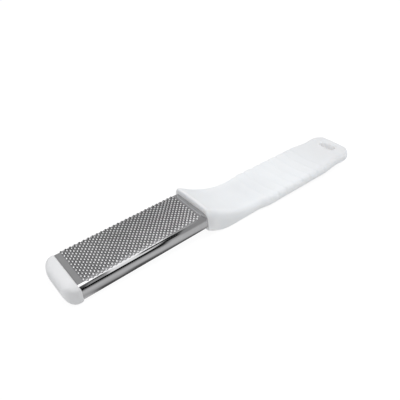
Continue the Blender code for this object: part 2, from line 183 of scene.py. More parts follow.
def noise(tree, where, scale, detail=3.0):
    made = addNode(tree, "ShaderNodeTexNoise", {"Vector": where, "Scale": scale, "Detail": detail})
    return made.outputs[0]


def blend(tree, share, first, second):     # of two colours
    return addNode(
        tree, "ShaderNodeMix", {"Factor": share, 6: first, 7: second}, data_type="RGBA").outputs[2]


def blendLevels(tree, share, first, second):
    return addNode(tree, "ShaderNodeMix", {"Factor": share, 2: first, 3: second}).outputs[0]


def blendShaders(tree, share, first, second):
    return addNode(tree, "ShaderNodeMixShader", {0: share, 1: first, 2: second}).outputs[0]


def glowing(tree, kind, strength, colour=(1, 1, 1)):
    return addNode(tree, kind, {"Color": (*colour, 1), "Strength": strength}).outputs[0]


plastic = {
    "mouldedWhite": {
        "bright": (0.87, 0.885, 0.90), "dull": (0.85, 0.865, 0.88), "roughness": 0.42,
        "grain": 0.05, "passing": 0.5},
    # painted shade: the cap's plastic is the handle's white, made a little darker and more neutral
    "mouldedCapWhite": {
        "bright": (0.84, 0.84, 0.845), "dull": (0.82, 0.82, 0.825), "roughness": 0.42,
        "grain": 0.05, "passing": 0.0},
    "mouldedCore": {
        "bright": (0.63, 0.65, 0.67), "dull": (0.59, 0.61, 0.63), "roughness": 0.5,
        "grain": 0.08, "passing": 0.0},
}

# What the plastics share: how fine their noises are, their gloss, and how far light passes in them
moulding = {
    "cloudScale": 45.0, "cloudRange": (0.35, 0.65), "roughnessScale": 160.0, "roughnessSpread": 0.05,
    "grainScale": 1900.0, "grainDepth": 0.0002, "ior": 1.46, "specular": 0.3,
    "passingRadius": (1.0, 0.95, 0.9), "passingScale": 0.003,
}
noiseRange = (0.3, 0.7)            # most of a noise lies between these


def paintLightAndShade(tree, colour, patches, hole):
    head = headPlace(tree)
    normal = addNode(tree, "ShaderNodeTexCoord").outputs["Normal"]
    upward = addNode(tree, "ShaderNodeSeparateXYZ", {0: normal}).outputs[2]
    for patch in patches:          # painted light and shade: a lighter or darker tone comes in from one place to another, by what faces up
        share = maths(
            tree, "MULTIPLY", smoothRange(tree, head[patch["axis"]], *patch["places"]),
            smoothRange(tree, upward, *patch["upward"]))
        colour = blend(tree, share, colour, (*patch["tone"], 1))
    if hole:                       # painted light: the walls round a hole are painted paler, for the light that passes into them
        across = maths(tree, "SUBTRACT", head[0], hole["middle"])
        away = maths(tree, "MULTIPLY_ADD", across, across, maths(tree, "MULTIPLY", head[1], head[1]))
        share = maths(
            tree, "MULTIPLY", smoothRange(tree, maths(tree, "SQRT", away), *hole["reach"], 1.0, 0.0),
            smoothRange(tree, upward, *hole["upward"], 1.0, 0.0))
        colour = blend(tree, share, colour, (*hole["tone"], 1))
    return colour


def plasticMaterial(name, patches=(), hole=None):
    look = plastic[name]
    made, tree, shader = newMaterial(name)
    where = objectPlace(tree)
    clouds = noise(tree, where, moulding["cloudScale"])
    clouds = smoothRange(tree, clouds, *moulding["cloudRange"])
    colour = blend(tree, clouds, (*look["dull"], 1), (*look["bright"], 1))
    if patches or hole:
        colour = paintLightAndShade(tree, colour, patches, hole)
    tree.links.new(colour, shader.inputs["Base Color"])
    worn = noise(tree, where, moulding["roughnessScale"])
    least = look["roughness"] - moulding["roughnessSpread"]
    most = look["roughness"] + moulding["roughnessSpread"]
    tree.links.new(smoothRange(tree, worn, *noiseRange, least, most), shader.inputs["Roughness"])
    pits = addNode(tree, "ShaderNodeBump", {
        "Height": noise(tree, where, moulding["grainScale"]), "Strength": look["grain"],
        "Distance": moulding["grainDepth"]})
    tree.links.new(pits.outputs[0], shader.inputs["Normal"])
    shader.inputs["IOR"].default_value = moulding["ior"]
    shader.inputs["Specular IOR Level"].default_value = moulding["specular"]
    shader.inputs["Subsurface Weight"].default_value = look["passing"]
    shader.inputs["Subsurface Radius"].default_value = moulding["passingRadius"]
    shader.inputs["Subsurface Scale"].default_value = moulding["passingScale"]
    return made


# Pairs are the two ends of a soft range, mostly places in mm in the head's frame: the recess values
# for painted shade round the teeth, the four that follow them for painted shade that dims the toothed
# field towards the far side and the collar, and the foot values for painted shade on the steel at the
# foot of the collar. The darkest colour is that of these painted shades.
steel = {
    "bright": (0.66, 0.66, 0.67), "dull": (0.60, 0.60, 0.61), "paintedShade": (0.08, 0.08, 0.083),
    "scratchScale": 3200.0, "scratchStretch": (0.02, 1.0, 1.0), "scratchDepth": 0.00005,
    "scratchStrength": 0.05, "scratchShare": 0.5, "smudgeScale": 70.0, "wearRange": (0.5, 1.0),
    "roughness": (0.03, 0.09), "toothFoot": (0.02, 0.1), "toothRoughness": 0.25,
    "fieldMargin": (1.2, 0.2), "fieldNearSide": (-13.6, -12.6), "fieldDown": (-3.0, -1.6),
    "recessTop": 0.35, "recessWave": (-0.2, 0.8), "recessAlong": (35.0, 65.0),
    "recessShare": (0.93, 0.8),
    "fieldShadeAcross": (-16.0, 9.0), "fieldShadeAlong": (15.0, 60.0), "fieldShadeAtCap": 0.3, "fieldShade": 0.3,
    "footAlong": (87.0, 88.4), "footDown": (-1.6, -0.4), "foot": 0.22,
}


def latticeWave(tree, x, y):       # 1 on each tooth, -1 half way between them
    fromStart = maths(tree, "SUBTRACT", x, teeth["Field start"])
    rowTurn = maths(tree, "MULTIPLY", fromStart, math.pi / teeth["Row step"])
    columnTurn = maths(tree, "MULTIPLY", y, 2 * math.pi / teeth["Pitch"])
    return maths(tree, "MULTIPLY", maths(tree, "COSINE", rowTurn), maths(tree, "COSINE", columnTurn))


def product(tree, *shares):
    result = shares[0]
    for share in shares[1:]:
        result = maths(tree, "MULTIPLY", result, share)
    return result


def sheetWithPaintedShade(tree, sheet, x, y, z):     # the bare sheet's colour, with painted shade round the teeth, over the toothed field and at the collar's foot
    fieldStart = teeth["Field start"]
    fieldEnd = fieldStart + teeth["Row step"] * (teeth["Rows"] - 1)
    wide, narrow = steel["fieldMargin"]
    inField = product(
        tree, smoothRange(tree, x, fieldStart - wide, fieldStart - narrow),
        smoothRange(tree, x, fieldEnd + narrow, fieldEnd + wide, 1.0, 0.0),
        smoothRange(tree, y, *steel["fieldNearSide"]), smoothRange(tree, z, *steel["fieldDown"]))
    # painted shade on the sheet between the teeth's feet
    recess = product(
        tree, smoothRange(tree, latticeWave(tree, x, y), *steel["recessWave"], 1.0, 0.0),
        smoothRange(tree, z, 0.0, steel["recessTop"], 1.0, 0.0), inField,
        smoothRange(tree, x, *steel["recessAlong"], *steel["recessShare"]))
    # painted shade that dims the toothed field towards the far side and the collar
    fieldShade = product(
        tree, smoothRange(tree, y, *steel["fieldShadeAcross"], 0.0, steel["fieldShade"]), inField,
        smoothRange(tree, x, *steel["fieldShadeAlong"], steel["fieldShadeAtCap"], 1.0))
    # painted shade on the top of the steel at the foot of the collar
    foot = product(
        tree, smoothRange(tree, x, *steel["footAlong"], 0.0, steel["foot"]),
        smoothRange(tree, z, *steel["footDown"]))
    for share in (recess, fieldShade, foot):
        sheet = blend(tree, share, sheet, (*steel["paintedShade"], 1))
    return sheet


def steelMaterial():
    made, tree, shader = newMaterial("polishedStainless")
    x, y, z = headPlace(tree)
    drawn = objectPlace(tree, steel["scratchStretch"], -tilt)    # stretched along the head
    scratches = noise(tree, drawn, steel["scratchScale"], detail=4.0)
    smudges = noise(tree, objectPlace(tree), steel["smudgeScale"])
    tone = smoothRange(tree, smudges, *noiseRange)
    sheet = blend(tree, tone, (*steel["dull"], 1), (*steel["bright"], 1))
    tree.links.new(sheetWithPaintedShade(tree, sheet, x, y, z), shader.inputs["Base Color"])
    shader.inputs["Metallic"].default_value = 1.0
    wear = maths(tree, "MULTIPLY_ADD", scratches, steel["scratchShare"], smudges)
    rough = smoothRange(tree, wear, *steel["wearRange"], *steel["roughness"])
    raised = smoothRange(tree, z, *steel["toothFoot"], 0.0, steel["toothRoughness"])
    tree.links.new(maths(tree, "ADD", rough, raised), shader.inputs["Roughness"])
    fine = addNode(tree, "ShaderNodeBump", {
        "Height": scratches, "Strength": steel["scratchStrength"], "Distance": steel["scratchDepth"]})
    tree.links.new(fine.outputs[0], shader.inputs["Normal"])
    return made


# Painted light and shade on the plastic, as a tone that comes in from the first place to the second, in
# mm along the head (axis 0) or across it (axis 1), and from the first to the second share of facing up: 1
# straight up, -1 straight down
allRound = (-2.0, -1.0)            # no face is below -1, so this takes in all of them
paintedLightAndShade = {
    # painted shade: the upward faces grow darker towards the grip's end
    "gripEnd": {"axis": 0, "places": (170, 250), "upward": (0.3, 0.95), "tone": (0.77, 0.775, 0.785)},
    # painted shade on the upward faces of the collar's rim
    "collarRim": {"axis": 0, "places": (96, 91.5), "upward": (0.25, 0.55), "tone": (0.84, 0.84, 0.845)},
    # painted light on the collar's sides and underside, towards its front
    "collarSide": {"axis": 0, "places": (106, 94), "upward": (0.3, -0.1), "tone": (0.935, 0.935, 0.935)},
    # painted light on the cap's nose
    "capNose": {"axis": 0, "places": (-5.2, -8.2), "upward": allRound, "tone": (0.92, 0.92, 0.925)},
    # painted shade towards the cap's near side
    "capCorner": {"axis": 1, "places": (-9, -16.5), "upward": allRound, "tone": (0.76, 0.76, 0.765)},
}
# painted light: the walls in and round the hanging slot are painted paler
slotWallLight = {"middle": 244.7, "reach": (8.0, 9.0), "upward": (0.2, 0.7), "tone": (0.995, 0.995, 1.0)}

materials = {
    "plastic": plasticMaterial(
        "mouldedWhite", (paintedLightAndShade["gripEnd"], paintedLightAndShade["collarRim"], paintedLightAndShade["collarSide"]), slotWallLight),
    "capPlastic": plasticMaterial("mouldedCapWhite", (paintedLightAndShade["capNose"], paintedLightAndShade["capCorner"])),
    "core": plasticMaterial("mouldedCore"),
    "steel": steelMaterial(),
}
print("materials made")


# Mesh helpers

sectionSteps = {"corner": 10, "top": 28, "bottom": 10}
roundest = 0.98                    # a corner takes up this share of the room at most


def section(halfWidth, top, bottom, radius, crown=0.0, depth=0.0):    # a rounded bar's outline
    radius = min(radius, (top - bottom) / 2 * roundest, halfWidth * roundest)
    depth = min(max(depth, radius), (top - bottom) * roundest - radius)    # of the top corners
    reach = halfWidth - radius
    corners = (
        (reach, top - depth, 0, depth), (-reach, top - depth, 90, depth),
        (-reach, bottom + radius, 180, radius), (reach, bottom + radius, 270, radius))
    between = {0: (sectionSteps["top"], top, reach), 180: (sectionSteps["bottom"], bottom, -reach)}
    points = []
    for y, z, start, tall in corners:
        for step in range(sectionSteps["corner"] + 1):
            angle = math.radians(start + 90 * step / sectionSteps["corner"])
            points.append((y + radius * math.cos(angle), z + tall * math.sin(angle)))
        if start in between:       # the flat stretches at the top and the bottom
            count, height, first = between[start]
            points += [(first * (1 - 2 * step / count), height) for step in range(1, count)]
    middle = (top + bottom) / 2
    return [(y, z - crown * (y / halfWidth) ** 2 if z > middle else z) for y, z in points]


def loft(name, rings, material):   # a closed skin over rings with the same number of points
    bm = bmesh.new()
    made = [[bm.verts.new(point) for point in ring] for ring in rings]
    for ring, following in zip(made, made[1:]):
        for index in range(len(ring)):
            after = (index + 1) % len(ring)
            bm.faces.new((ring[index], ring[after], following[after], following[index]))
    bm.faces.new(list(reversed(made[0])))
    bm.faces.new(made[-1])
    bmesh.ops.recalc_face_normals(bm, faces=bm.faces)
    return addPiece(name, bm, material)


def addPiece(name, bm, material):
    mesh = bpy.data.meshes.new(name)
    bm.to_mesh(mesh)
    bm.free()
    mesh.materials.append(material)
    obj = bpy.data.objects.new(name, mesh)
    bpy.context.scene.collection.objects.link(obj)
    return obj


def finishPiece(obj, node, sharp=35):   # smooth it, lay it down, and hand it to the frame
    obj.data.transform(headToWorld)
    obj.data.shade_smooth()
    obj.data.set_sharp_from_angle(angle=math.radians(sharp))
    weighted = obj.modifiers.new("weightedNormals", "WEIGHTED_NORMAL")
    weighted.keep_sharp = True
    keepAsMesh(obj)
    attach(obj, "root")
    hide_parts(node)


# Sleeve: one folded sheet, its edges meeting underneath, and rows of raised teeth on top

def sheetSection():
    halfWidth = sleeve["width"] / 2

    def path(inset):               # round the sheet from one lip of the seam to the other
        radius = sleeve["edgeRadius"] - inset
        reach = halfWidth - inset - radius
        low = -sleeve["height"] + inset + radius
        high = -inset - radius
        points = [(sleeve["seamGap"] / 2, low - radius)]
        for y, z, start in ((reach, low, 270), (reach, high, 0), (-reach, high, 90), (-reach, low, 180)):
            for step in range(sleeve["cornerSegments"] + 1):
                angle = math.radians(start + 90 * step / sleeve["cornerSegments"])
                points.append((y + radius * math.cos(angle), z + radius * math.sin(angle)))
        return points + [(-sleeve["seamGap"] / 2, low - radius)]

    return path(0.0) + list(reversed(path(sleeve["sheet"])))


def toothTree():
    tree, given, out = newTree("raisedTeeth", [
        ("Pitch", "Float"), ("Row step", "Float"), ("Rows", "Int"), ("Columns", "Int"),
        ("Field start", "Float"), ("Radius", "Float"), ("Height", "Float"), ("Bluntness", "Float"),
        ("Tip", "Float"), ("Lean", "Float"), ("Sunk", "Float"), ("Sides", "Int"),
        ("Height steps", "Int"), ("Size wobble", "Float"), ("Seed", "Int"), ("Far limit", "Float"),
        ("Flat half width", "Float"), ("Edge radius", "Float"), ("Material", "Material")])
    lengthwise = maths(tree, "MULTIPLY", maths(tree, "SUBTRACT", given["Rows"], 1.0), given["Row step"])
    crosswise = maths(tree, "MULTIPLY", maths(tree, "SUBTRACT", given["Columns"], 1.0), given["Pitch"])
    grid = addNode(tree, "GeometryNodeMeshGrid", {
        "Size X": lengthwise, "Size Y": crosswise,
        "Vertices X": given["Rows"], "Vertices Y": given["Columns"]}).outputs[0]

    # a point's own place, read first on the lattice and later on one tooth
    where = addNode(tree, "GeometryNodeInputPosition").outputs[0]
    x, y, z = addNode(tree, "ShaderNodeSeparateXYZ", {0: where}).outputs
    fromStart = maths(tree, "MULTIPLY_ADD", lengthwise, 0.5, x)
    row = maths(tree, "ROUND", maths(tree, "DIVIDE", fromStart, given["Row step"]))
    even = maths(tree, "SUBTRACT", 1.0, maths(tree, "MODULO", row, 2.0))
    halfPitch = maths(tree, "MULTIPLY", given["Pitch"], 0.5)
    staggered = addNode(tree, "GeometryNodeSetPosition", {
        "Geometry": grid, "Offset": addNode(tree, "ShaderNodeCombineXYZ", {
            0: maths(tree, "MULTIPLY_ADD", lengthwise, 0.5, given["Field start"]),
            1: maths(tree, "MULTIPLY", halfPitch, even)}).outputs[0]}).outputs[0]
    beyond = addNode(
        tree, "FunctionNodeCompare", {0: y, 1: given["Far limit"]}, operation="GREATER_THAN").outputs[0]
    lattice = addNode(tree, "GeometryNodeDeleteGeometry", {
        "Geometry": staggered, "Selection": beyond}).outputs[0]

    # the outermost teeth follow the sleeve's rounded edges down, and stand square to them
    past = maths(tree, "SUBTRACT", maths(tree, "ABSOLUTE", y), given["Flat half width"])
    bend = maths(tree, "DIVIDE", maths(tree, "MAXIMUM", past, 0.0), given["Edge radius"])
    turn = maths(tree, "ARCSINE", bend)
    sink = maths(tree, "SUBTRACT", maths(tree, "COSINE", turn), 1.0)
    sink = maths(tree, "MULTIPLY", sink, given["Edge radius"])
    lattice = addNode(tree, "GeometryNodeSetPosition", {
        "Geometry": lattice,
        "Offset": addNode(tree, "ShaderNodeCombineXYZ", {2: sink}).outputs[0]}).outputs[0]
    roll = maths(tree, "MULTIPLY", maths(tree, "MULTIPLY", turn, -1.0), maths(tree, "SIGN", y))
    rolled = addNode(tree, "ShaderNodeCombineXYZ", {0: roll}).outputs[0]

    # one tooth is a post that narrows and leans as it rises, with its foot sunk a little in the sheet
    post = addNode(tree, "GeometryNodeMeshCylinder", {
        "Vertices": given["Sides"], "Side Segments": given["Height steps"],
        "Radius": given["Radius"], "Depth": given["Height"]}, fill_type="NGON").outputs[0]
    rise = maths(tree, "ADD", maths(tree, "DIVIDE", z, given["Height"]), 0.5)
    lift = maths(tree, "MULTIPLY", given["Height"], maths(tree, "SUBTRACT", 0.5, given["Sunk"]))
    narrow = maths(tree, "SUBTRACT", given["Tip"], 1.0)
    narrow = maths(tree, "MULTIPLY", narrow, maths(tree, "POWER", rise, given["Bluntness"]))
    lean = maths(tree, "MULTIPLY", maths(tree, "MULTIPLY", rise, rise), given["Lean"])
    tooth = addNode(tree, "GeometryNodeSetPosition", {
        "Geometry": post, "Offset": addNode(tree, "ShaderNodeCombineXYZ", {
            0: maths(tree, "SUBTRACT", maths(tree, "MULTIPLY", x, narrow), lean),
            1: maths(tree, "MULTIPLY", y, narrow), 2: lift}).outputs[0]}).outputs[0]

    small = maths(tree, "SUBTRACT", 1.0, given["Size wobble"])
    size = addNode(tree, "FunctionNodeRandomValue", {2: small, 3: 1.0, "Seed": given["Seed"]}).outputs[1]
    rows = addNode(tree, "GeometryNodeInstanceOnPoints", {
        "Points": lattice, "Instance": tooth, "Rotation": rolled, "Scale": size}).outputs[0]
    joined = addNode(tree, "GeometryNodeJoinGeometry")
    tree.links.new(rows, joined.inputs[0])
    tree.links.new(given["Geometry"], joined.inputs[0])
    endTree(tree, joined.outputs[0], given, out)
    return tree


joint = {"setBack": 0.75, "reach": 3.0}    # the place where the sleeve and the cap meet


def atJoint(x, z):                 # it lies further forward on top than at the sides
    share = ease(0, 1, 1 + z / sleeve["edgeRadius"]) * max(1 - abs(x) / joint["reach"], 0.0)
    return x - joint["setBack"] * share


def makeSleeve():
    end = sleeve["exposed"] + sleeve["inCollar"]
    places = [sleeve["start"]] + evenly(sleeve["start"], end, sleeve["stationStep"])
    outline = sheetSection()

    def lowered(x, z):             # the underside lies a little lower at the cap's end
        share = max(1 - x / sleeve["exposed"], 0.0) if z < -sleeve["height"] / 2 else 0.0
        return z - sleeve["frontDrop"] * share

    rings = [[(atJoint(x, z), y, lowered(x, z)) for y, z in outline] for x in places]
    made = loft("raspSleeve", rings, materials["steel"])
    runTree(made, toothTree(), {**teeth, "Material": materials["steel"]})
    finishPiece(made, "rasp_sleeve", sharp=30)


makeSleeve()
print("sleeve and teeth made")


# End cap: a rounded bar that closes the sleeve, with its plug and peg behind

cap = {
    "length": 8.7, "overhang": 0.6, "rise": 0.1, "drop": 1.6, "cornerRadius": 7.5,
    "noseRadius": 5.2, "sideRadius": 3.4, "rimLength": 1.5, "rimDepth": 0.45,
    "noseSegments": 16, "rimSegments": 6, "step": 0.5, "plugLength": 10.0, "pegLength": 8.0,
    "pegWidth": 15.0, "pegHeight": 4.6, "pegEdgeRadius": 0.4, "clearance": 0.3,
}


def capRing(x):
    fromFront = x + cap["length"]
    rim = arcInset(-x, cap["rimLength"]) * cap["rimDepth"] / cap["rimLength"]
    nose = arcInset(fromFront, cap["noseRadius"]) + rim
    corner = arcInset(fromFront, cap["cornerRadius"]) + rim
    outline = section(
        sleeve["width"] / 2 + cap["overhang"] - corner, cap["rise"] - nose,
        nose - sleeve["height"] - cap["drop"], cap["sideRadius"])
    return [(atJoint(x, z), y, z) for y, z in outline]


def makeCap():
    noseEnd = cap["noseRadius"] - cap["length"]
    places = [noseEnd - cap["noseRadius"] * math.cos(angle) for angle in quarterTurn(cap["noseSegments"])]
    places += evenly(noseEnd, -cap["rimLength"], cap["step"])[:-1]
    places += [cap["rimLength"] * (math.sin(angle) - 1) for angle in quarterTurn(cap["rimSegments"])]
    rings = [capRing(x) for x in places]
    wall = sleeve["sheet"] + cap["clearance"]
    plug = section(
        sleeve["width"] / 2 - wall, -wall, wall - sleeve["height"], sleeve["edgeRadius"] - wall)
    middle = -sleeve["height"] / 2
    peg = section(
        cap["pegWidth"] / 2, middle + cap["pegHeight"] / 2, middle - cap["pegHeight"] / 2,
        cap["pegEdgeRadius"])
    pegEnd = cap["plugLength"] + cap["pegLength"]
    for x, outline in ((0.0, plug), (cap["plugLength"], plug), (cap["plugLength"], peg), (pegEnd, peg)):
        rings.append([(atJoint(x, z), y, z) for y, z in outline])
    finishPiece(loft("endCap", rings, materials["capPlastic"]), "end_cap")


makeCap()
print("end cap made")


# Handle: collar, crank, rippled grip and end lobe in one moulding, with the pockets inside it

handle = {
    "length": 165.6, "collarWall": 1.0, "collarRise": 6.0, "collarFloor": 2.0, "collarLean": 1.6,
    "collarEdgeRadius": 2.8, "collarSideDepth": 8.0, "collarRimRadius": 3.2, "collarSideRim": 0.3,
    "collarUnderRim": 1.2, "crankTopLength": 48.0, "crankUndersideLength": 24.0,
    "neckSpread": 0.8, "neckLength": 22.0, "shoulderFromCollar": 50.0, "shoulderLength": 12.0,
    "gripWidth": 39.6, "gripDrop": 11.6, "gripThickness": 9.2, "gripSlope": 0.019,
    "gripEdgeRadius": 3.4, "gripSideDepth": 5.2, "gripCrown": 0.4, "gripWall": 1.85,
    "endWidth": 36.8, "endTaperLength": 22.0, "endLobeLength": 21.0, "waistDepth": 0.5,
    "waistLength": 16.0, "endCornerRadius": 9.5, "endEdgeRadius": 2.4, "clearance": 0.3,
    "lip": 0.02, "tangWidth": 20.0, "tangInGrip": 26.0, "tangEdgeRadius": 0.3,
    "step": 1.0, "fineStep": 0.4, "pocketStep": 4.0, "rimSegments": 6, "endSegments": 16,
}

ripples = {
    "Count": 8, "Pitch": 9.3, "Last from end": 40.6, "Bow": 4.0, "Half width": 2.3,
    "Depth in the middle": 0.2, "Depth at the edge": 0.45, "Facing from": -0.3, "Facing to": 0.35,
}

slot = {
    "length": 11.6, "width": 5.2, "draft": 1.6, "fromEnd": 10.9, "rimRadius": 1.6, "segments": 64,
    "rimSegments": 6,
}

collarX = sleeve["exposed"]
handleEnd = collarX + handle["length"]
collarWidth = sleeve["width"] + 2 * handle["collarWall"]
neckWidth = collarWidth + 2 * handle["neckSpread"]


def gripTop(x):
    return -handle["gripDrop"] - handle["gripSlope"] * (x - collarX)


def handleTop(x):
    full = handle["collarRise"] - gripTop(collarX)
    return gripTop(x) + full * runOut((x - collarX) / handle["crankTopLength"])


def handleUnderside(x):
    low = gripTop(x) - handle["gripThickness"]
    full = gripTop(collarX) - handle["gripThickness"] + sleeve["height"] + handle["collarFloor"]
    return low - full * runOut((x - collarX) / handle["crankUndersideLength"])


def handleHalfWidth(x):
    lobeX = handleEnd - handle["endLobeLength"]
    neck = ease(collarWidth, neckWidth, (x - collarX) / handle["neckLength"])
    pastShoulder = (x - collarX - handle["shoulderFromCollar"]) / handle["shoulderLength"]
    grip = ease(0, handle["gripWidth"] - neckWidth, pastShoulder)
    taper = ease(0, handle["gripWidth"] - handle["endWidth"], (x - lobeX) / handle["endTaperLength"] + 1)
    waist = handle["waistDepth"] * ease(0, 1, 1 - abs(2 * (x - lobeX) / handle["waistLength"]))
    return (neck + grip - taper) / 2 - waist


def landHeight(x):                 # the floor under the file, seen from the head's frame
    floorPoint = headToWorld.inverted() @ Vector((0.0, 0.0, 0.0))
    return floorPoint.z + (x - floorPoint.x) * math.tan(tilt)


def handleRing(x):
    fromEnd = handleEnd - x
    fromFront = x - collarX
    rim = arcInset(fromFront, handle["collarRimRadius"])
    sideRim = arcInset(fromFront, handle["collarSideRim"])
    underRim = arcInset(fromFront, handle["collarUnderRim"])
    edge = arcInset(fromEnd, handle["endEdgeRadius"])
    halfWidth = handleHalfWidth(x) - arcInset(fromEnd, handle["endCornerRadius"]) - sideRim
    top = handleTop(x) - edge - rim
    bottom = max(handleUnderside(x), landHeight(x)) + edge + underRim
    bend = fromFront / handle["crankTopLength"]
    radius = ease(handle["collarEdgeRadius"], handle["gripEdgeRadius"], bend)
    depth = ease(handle["collarSideDepth"], handle["gripSideDepth"], bend)
    lean = handle["collarLean"] * runOut(fromFront / handle["crankUndersideLength"])
    outline = section(halfWidth, top, bottom, radius, handle["gripCrown"], depth)
    return [(x + lean * (top - z) / (top - bottom), y, z) for y, z in outline]


def tangRing(x):
    middle = (handleTop(x) + handleUnderside(x)) / 2
    half = handle["gripThickness"] / 2 - handle["gripWall"]
    outline = section(
        handle["tangWidth"] / 2 + handle["clearance"], middle + half, middle - half,
        handle["tangEdgeRadius"])
    return [(x, y, z) for y, z in outline]


def pocketRings(front):            # the sleeve's pocket, from its floor to the leaning mouth
    gap = handle["clearance"]
    outline = section(
        sleeve["width"] / 2 + gap, gap, -sleeve["height"] - gap, sleeve["edgeRadius"] + gap)
    floor = [(sleeve["exposed"] + sleeve["inCollar"] + gap, y, z) for y, z in outline]
    top = max(point[2] for point in front)
    bottom = min(point[2] for point in front)
    lean = handle["collarLean"]
    tight = section(
        sleeve["width"] / 2 + handle["lip"], handle["lip"], -sleeve["height"] - handle["lip"],
        sleeve["edgeRadius"] + handle["lip"])
    mouth = [(collarX + lean * (top - z) / (top - bottom), y, z) for y, z in tight]
    return [floor, mouth]


def handlePlaces():
    arc = quarterTurn(handle["rimSegments"])
    places = [collarX + handle["collarRimRadius"] * (1 - math.cos(angle)) for angle in arc]
    ripplesEnd = handleEnd - ripples["Last from end"] + ripples["Pitch"]
    ripplesStart = ripplesEnd - ripples["Pitch"] * (ripples["Count"] + 1) - ripples["Bow"]
    arcStart = handleEnd - handle["endCornerRadius"]
    places += evenly(places[-1], ripplesStart, handle["step"])
    places += evenly(ripplesStart, ripplesEnd, handle["fineStep"])
    places += evenly(ripplesEnd, arcStart, handle["step"])
    arc = quarterTurn(handle["endSegments"])[1:]
    return places + [arcStart + handle["endCornerRadius"] * math.sin(angle) for angle in arc]


def rippleTree():
    tree, given, out = newTree("grooves", [
        ("Count", "Float"), ("Pitch", "Float"), ("Last groove", "Float"), ("Bow", "Float"),
        ("Half width", "Float"), ("Grip half width", "Float"), ("Depth in the middle", "Float"),
        ("Depth at the edge", "Float"), ("Facing from", "Float"), ("Facing to", "Float"),
        ("Material", "Material")])
    where = addNode(tree, "GeometryNodeInputPosition").outputs[0]
    x, y = addNode(tree, "ShaderNodeSeparateXYZ", {0: where}).outputs[:2]
    across = maths(tree, "DIVIDE", maths(tree, "ABSOLUTE", y), given["Grip half width"])
    across = maths(tree, "MINIMUM", across, 1.0)
    share = maths(tree, "MULTIPLY", across, across)
    bowed = maths(tree, "MULTIPLY_ADD", maths(tree, "SUBTRACT", 1.0, share), given["Bow"], x)
    turns = maths(tree, "DIVIDE", maths(tree, "SUBTRACT", given["Last groove"], bowed), given["Pitch"])
    most = maths(tree, "SUBTRACT", given["Count"], 1.0)
    nearest = maths(tree, "MINIMUM", maths(tree, "MAXIMUM", maths(tree, "ROUND", turns), 0.0), most)
    away = maths(tree, "MULTIPLY", maths(tree, "SUBTRACT", turns, nearest), given["Pitch"])
    away = maths(tree, "DIVIDE", away, given["Half width"])
    dip = maths(tree, "MAXIMUM", maths(tree, "SUBTRACT", 1.0, maths(tree, "MULTIPLY", away, away)), 0.0)
    dip = maths(tree, "MULTIPLY", dip, dip)
    extra = maths(tree, "SUBTRACT", given["Depth at the edge"], given["Depth in the middle"])
    depth = maths(tree, "MULTIPLY_ADD", extra, share, given["Depth in the middle"])
    normal = addNode(tree, "GeometryNodeInputNormal").outputs[0]
    upward = addNode(tree, "ShaderNodeSeparateXYZ", {0: normal}).outputs[2]
    facing = smoothRange(tree, upward, given["Facing from"], given["Facing to"])
    skin = addNode(
        tree, "GeometryNodeInputNamedAttribute", {"Name": "skin"}, data_type="FLOAT").outputs[0]
    press = product(tree, depth, dip, facing, skin, -1.0)
    offset = addNode(
        tree, "ShaderNodeVectorMath", {0: normal, "Scale": press}, operation="SCALE").outputs[0]
    pressed = addNode(tree, "GeometryNodeSetPosition", {
        "Geometry": given["Geometry"], "Offset": offset}).outputs[0]
    endTree(tree, pressed, given, out)
    return tree


def slotCutter():                  # an upright stadium that widens upwards, and flares into round rims
    centreX = handleEnd - slot["fromEnd"]
    middle = (handleTop(centreX) + handleUnderside(centreX)) / 2
    half = handle["gripThickness"] / 2
    rim = slot["rimRadius"]
    profile = [(half + rim, rim)]
    for angle in quarterTurn(slot["rimSegments"]):
        profile.append((half - rim * (1 - math.cos(angle)), rim * (1 - math.sin(angle))))
    profile += [(-height, flare) for height, flare in reversed(profile)]
    profile = [(height, flare + slot["draft"] * (1 + height / half) / 2) for height, flare in profile]
    straight = (slot["length"] - slot["width"]) / 2
    rings = []
    for height, flare in profile:
        ring = []
        for step in range(slot["segments"]):
            angle = 2 * math.pi * (step + 0.5) / slot["segments"]
            reach = slot["width"] / 2 + flare
            y = reach * math.sin(angle) + math.copysign(straight, math.sin(angle))
            ring.append((centreX + reach * math.cos(angle), y, middle + height))
        rings.append(ring)
    return loft("slotCutter", rings, materials["plastic"])


def makeHandle():
    outside = [handleRing(x) for x in handlePlaces()]
    tangEnd = collarX + handle["crankTopLength"] + handle["tangInGrip"] + handle["clearance"]
    pocket = pocketRings(outside[0])
    tangPlaces = [tangEnd] + evenly(tangEnd, pocket[0][0][0], handle["pocketStep"])
    inside = [tangRing(x) for x in tangPlaces] + pocket
    made = loft("crankedHandle", inside + outside, materials["plastic"])
    skin = made.data.attributes.new("skin", "FLOAT", "POINT")    # 1 outside, 0 in the pockets
    insideCount, outsideCount = (len(rings) * len(rings[0]) for rings in (inside, outside))
    skin.data.foreach_set("value", [0.0] * insideCount + [1.0] * outsideCount)
    runTree(made, rippleTree(), {
        **ripples, "Last groove": handleEnd - ripples["Last from end"],
        "Grip half width": handle["gripWidth"] / 2, "Material": materials["plastic"]})
    cutter = slotCutter()
    cut = made.modifiers.new("hangingSlot", "BOOLEAN")
    cut.object = cutter
    keepAsMesh(made)
    bpy.data.objects.remove(cutter)
    finishPiece(made, "handle", sharp=40)


makeHandle()
print("handle made")

spine = cadNodes["spine"]          # hidden inside, kept as it is with its own plastic
spine.data.materials.clear()
spine.data.materials.append(materials["core"])


# Stage: a plain pale floor, soft light and the photograph's camera

# The camera in the head's frame: angles in degrees, the target and the distance to it in mm
view = {
    "azimuth": -39.85, "elevation": 38.17, "roll": -0.45, "lens": 37.556, "sensor": 36.0,
    "distance": 283.86, "target": (97.816, -0.394, -0.4), "clipStart": 0.01,
}

